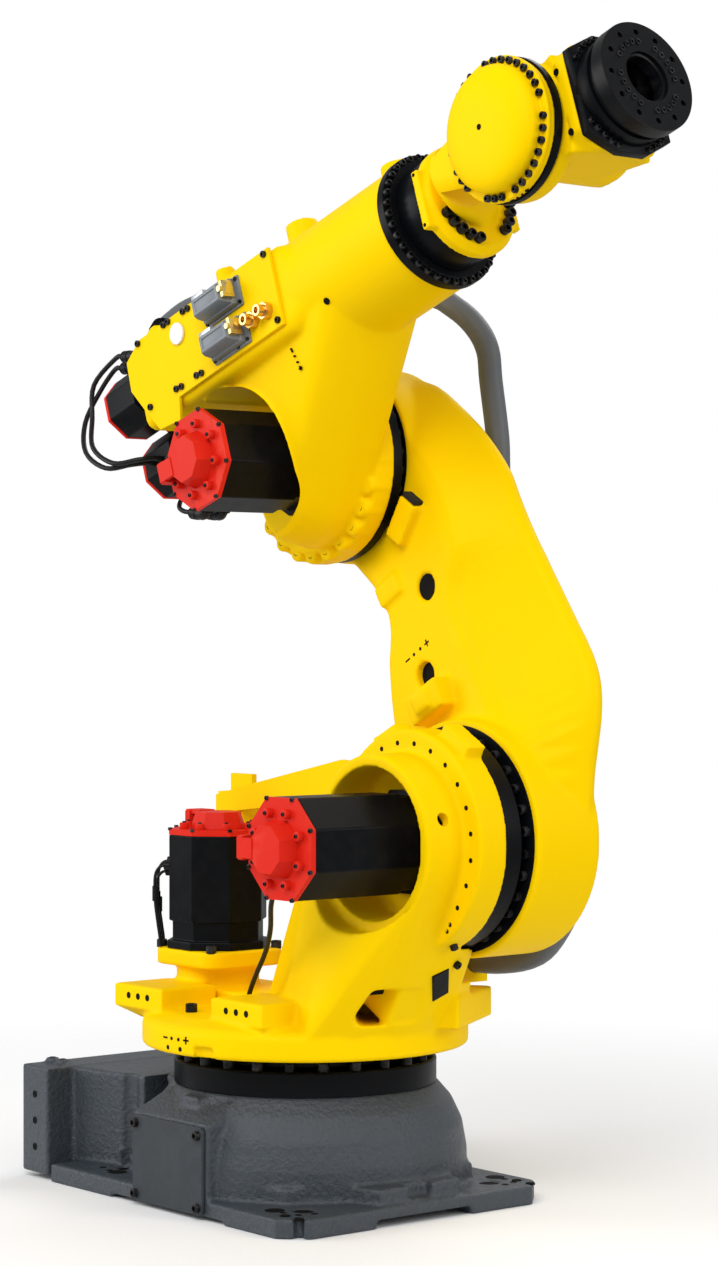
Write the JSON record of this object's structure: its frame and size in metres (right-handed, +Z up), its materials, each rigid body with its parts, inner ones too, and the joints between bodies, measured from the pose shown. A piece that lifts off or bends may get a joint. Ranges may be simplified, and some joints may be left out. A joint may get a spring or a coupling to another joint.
{
  "type": "industrial robot arm",
  "caption": "Large floor-mounted industrial robot arm: cast base, slewing turntable, offset lower arm, forearm with side connector panel, roll-and-bend wrist, tool flange.",
  "frame": {"origin": "on the floor face of the base, where the slewing axis meets it", "axes": "+X the way the arm reaches in the picture pose, +Y towards the side that carries the lower arm, +Z up along the slewing axis"},
  "size_m": [1.5095, 0.695, 2.0365],
  "materials": {
    "black": "satin black paint",
    "black_hose": "smooth sheath",
    "brass": "machined",
    "grey_cast": "rough cast, painted dark grey",
    "grey_hose": "smooth sheath",
    "grey_metal": "bead-blasted die cast",
    "red": "semi-gloss paint",
    "rubber": "matt",
    "white_plastic": "smooth",
    "yellow": "semi-gloss enamel"
  },
  "bodies": {
    "base": {"base_casting": "grey_cast", "base_side_cover": "grey_cast", "rear_connector_plate": "grey_metal", "rear_connectors": "black", "slew_ring": "black"},
    "turntable": {"slew_hub": "black", "turntable_casting": "yellow", "shoulder_housing": "yellow", "slew_motor": "black", "slew_motor_cap": "red", "shoulder_motor": "black", "shoulder_motor_cap": "red", "shoulder_ring": "black", "cable_bracket": "yellow", "hose_clamp": "yellow"},
    "lower_arm": {"lower_arm_casting": "yellow", "shoulder_hub": "black", "elbow_hub": "black", "arm_bumper": "rubber", "arm_clamp": "black", "conduit_lower": "grey_hose", "conduit_upper": "grey_hose"},
    "forearm": {"forearm_casting": "yellow", "elbow_flange": "black", "elbow_motor": "black", "elbow_motor_cap": "red", "side_panel": "yellow", "panel_connectors": "grey_metal", "air_fittings": "brass", "panel_cap": "white_plastic", "wrist_motors": "black", "wrist_motor_caps": "red", "roll_ring": "black", "lead_elbows": "black_hose", "motor_leads": "black_hose"},
    "wrist_roll": {"wrist_yoke": "yellow", "dome_cover": "yellow", "wrist_ring": "black"},
    "wrist_bend": {"wrist_block": "yellow", "tool_plate": "black"},
    "tool": {"tool_flange": "black"}
  },
  "joints": [
    {"name": "slew", "type": "hinge", "parent": "base", "child": "turntable", "pos_m": [0, 0, 0.3], "axis": [0, 0, 1], "range_deg": [-185, 185]},
    {"name": "shoulder", "type": "hinge", "parent": "turntable", "child": "lower_arm", "pos_m": [0.312, 0.1, 0.67], "axis": [0, 1, 0], "range_deg": [-29, 107], "deforming": ["conduit_lower"]},
    {"name": "elbow", "type": "hinge", "parent": "lower_arm", "child": "forearm", "pos_m": [-0.10261, 0.09, 1.36002], "axis": [0, -1, 0], "range_deg": [-50, 80], "deforming": ["conduit_upper"]},
    {"name": "wrist_roll", "type": "hinge", "parent": "forearm", "child": "wrist_roll", "pos_m": [0.38956, 0, 1.76745], "axis": [0.9455, 0, 0.3256], "range_deg": [-360, 360]},
    {"name": "wrist_bend", "type": "hinge", "parent": "wrist_roll", "child": "wrist_bend", "pos_m": [0.68929, 0, 1.87066], "axis": [0, -1, 0], "range_deg": [-125, 125]},
    {"name": "tool_turn", "type": "hinge", "parent": "wrist_bend", "child": "tool", "pos_m": [0.90203, 0, 1.94391], "axis": [0.9455, 0, 0.3256], "range_deg": [-360, 360]}
  ]
}
